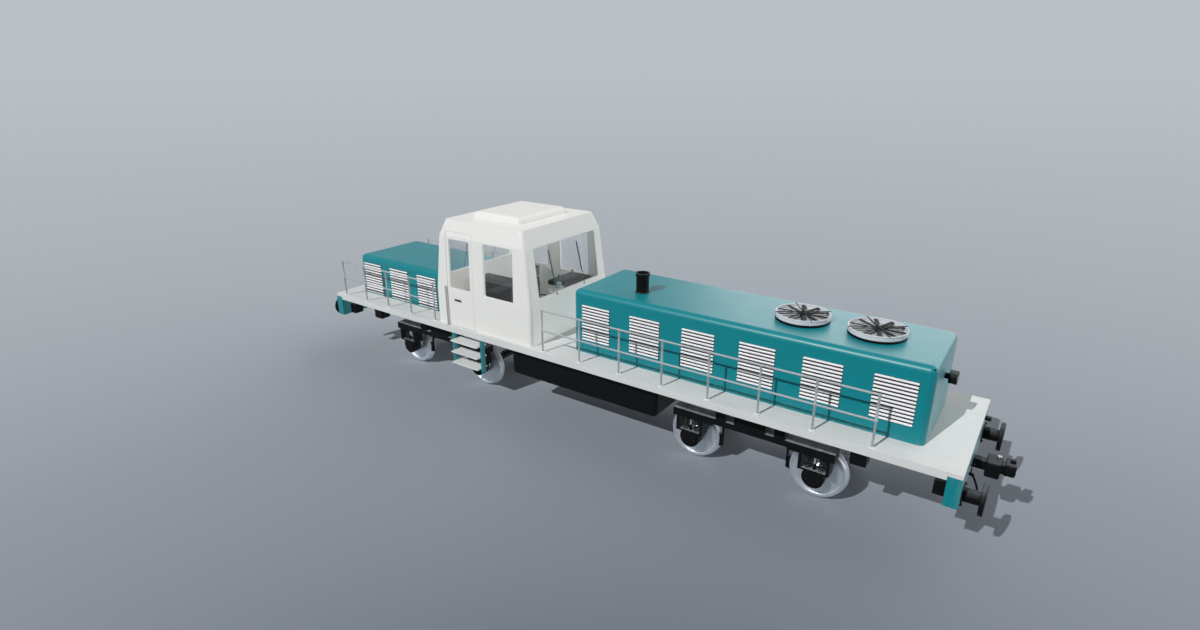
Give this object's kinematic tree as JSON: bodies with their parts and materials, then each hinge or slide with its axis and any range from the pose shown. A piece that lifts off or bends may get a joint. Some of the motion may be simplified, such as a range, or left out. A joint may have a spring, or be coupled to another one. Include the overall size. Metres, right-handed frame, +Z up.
{
  "type": "diesel shunting locomotive",
  "caption": "Shunting locomotive on two swivelling bogies, with a raised cab between a long and a short hood, railed walkways, buffers and automatic couplers.",
  "frame": {"origin": "under the middle of the underframe, on the surface that the wheel flanges stand on, 28 mm below the rail tops", "axes": "+X along the locomotive towards the long hood's end, +Y to the left when looking that way, +Z up"},
  "size_m": [16.88, 3.34, 4.408],
  "materials": {
    "teal_paint": "gloss enamel",
    "white_paint": "gloss enamel",
    "deck_paint": "satin non-slip paint",
    "grey_paint": "satin enamel",
    "black_paint": "satin enamel",
    "fan_black": "satin enamel",
    "engine_paint": "satin enamel",
    "cast_steel": "painted casting",
    "spring_steel": "satin",
    "wheel_steel": "turned",
    "rail_steel": "satin silver paint",
    "glass": "clear",
    "desk_plastic": "matt",
    "seat_cloth": "woven",
    "rubber": "matt"
  },
  "bodies": {
    "locomotive": {"air_reservoir": "black_paint", "beam_fittings": "cast_steel", "brake_hose": "rubber", "brake_stand": "grey_paint", "buffer_pockets": "black_paint", "buffers": "black_paint", "cab_glass": "glass", "cab_roof_unit": "white_paint", "cab_shell": "white_paint", "control_desk": "desk_plastic", "cross_members": "black_paint", "deck": "deck_paint", "driver_seat": "seat_cloth", "engine_block": "engine_paint", "exhaust_stack": "black_paint", "fan_bases": "black_paint", "fan_cowls": "grey_paint", "fan_guards": "fan_black", "fuel_tank": "black_paint", "handrail_posts": "rail_steel", "handrail_tubes": "rail_steel", "headlamps": "black_paint", "headstocks": "teal_paint", "hood_long": "teal_paint", "hood_short": "teal_paint", "hose_coupling": "cast_steel", "louvres_long": "grey_paint", "louvres_short": "grey_paint", "outriggers": "black_paint", "sand_boxes": "black_paint", "step_stiles": "teal_paint", "step_treads": "grey_paint", "underframe": "black_paint", "wipers": "black_paint"},
    "bogie_front": {"axleboxes_front": "cast_steel", "bogie_frame_front": "black_paint", "brake_gear_front": "cast_steel", "springs_front": "spring_steel"},
    "bogie_rear": {"axleboxes_rear": "cast_steel", "bogie_frame_rear": "black_paint", "brake_gear_rear": "cast_steel", "springs_rear": "spring_steel"},
    "wheelset_1": {"axle_1": "black_paint", "wheels_1": "wheel_steel"},
    "wheelset_2": {"axle_2": "black_paint", "wheels_2": "wheel_steel"},
    "wheelset_3": {"axle_3": "black_paint", "wheels_3": "wheel_steel"},
    "wheelset_4": {"axle_4": "black_paint", "wheels_4": "wheel_steel"},
    "coupler_front": {"coupler_front": "cast_steel"},
    "coupler_rear": {"coupler_rear": "cast_steel"},
    "door_right": {"door_glass_right": "glass", "door_handle_right": "black_paint", "door_right": "white_paint"},
    "door_left": {"door_glass_left": "glass", "door_handle_left": "black_paint", "door_left": "white_paint"},
    "fan_1": {"fan_rotor_1": "fan_black"},
    "fan_2": {"fan_rotor_2": "fan_black"}
  },
  "joints": [
    {"name": "bogie_front_swivel", "type": "hinge", "parent": "locomotive", "child": "bogie_front", "pos_m": [4.2, 0, 1.158], "axis": [0, 0, 1], "range_deg": [-5, 5]},
    {"name": "bogie_rear_swivel", "type": "hinge", "parent": "locomotive", "child": "bogie_rear", "pos_m": [-4.2, 0, 1.158], "axis": [0, 0, 1], "range_deg": [-5, 5]},
    {"name": "wheelset_1_spin", "type": "hinge", "parent": "bogie_front", "child": "wheelset_1", "pos_m": [5.45, 0, 0.553], "axis": [0, 1, 0], "continuous": true},
    {"name": "wheelset_2_spin", "type": "hinge", "parent": "bogie_front", "child": "wheelset_2", "pos_m": [2.95, 0, 0.553], "axis": [0, 1, 0], "continuous": true},
    {"name": "wheelset_3_spin", "type": "hinge", "parent": "bogie_rear", "child": "wheelset_3", "pos_m": [-2.95, 0, 0.553], "axis": [0, 1, 0], "continuous": true},
    {"name": "wheelset_4_spin", "type": "hinge", "parent": "bogie_rear", "child": "wheelset_4", "pos_m": [-5.45, 0, 0.553], "axis": [0, 1, 0], "continuous": true},
    {"name": "coupler_front_swing", "type": "hinge", "parent": "locomotive", "child": "coupler_front", "pos_m": [7.38, 0, 1.198], "axis": [0, 0, 1], "range_deg": [-8, 8]},
    {"name": "coupler_rear_swing", "type": "hinge", "parent": "locomotive", "child": "coupler_rear", "pos_m": [-7.38, 0, 1.198], "axis": [0, 0, 1], "range_deg": [-8, 8]},
    {"name": "door_right_swing", "type": "hinge", "parent": "locomotive", "child": "door_right", "pos_m": [-2.57, -1.275, 2.608], "axis": [0, 0, -1], "range_deg": [0, 85]},
    {"name": "door_left_swing", "type": "hinge", "parent": "locomotive", "child": "door_left", "pos_m": [-2.57, 1.275, 2.608], "axis": [0, 0, 1], "range_deg": [0, 85]},
    {"name": "fan_1_spin", "type": "hinge", "parent": "locomotive", "child": "fan_1", "pos_m": [4.615, 0, 3.158], "axis": [0, 0, 1], "continuous": true},
    {"name": "fan_2_spin", "type": "hinge", "parent": "locomotive", "child": "fan_2", "pos_m": [5.955, 0, 3.158], "axis": [0, 0, 1], "continuous": true}
  ]
}
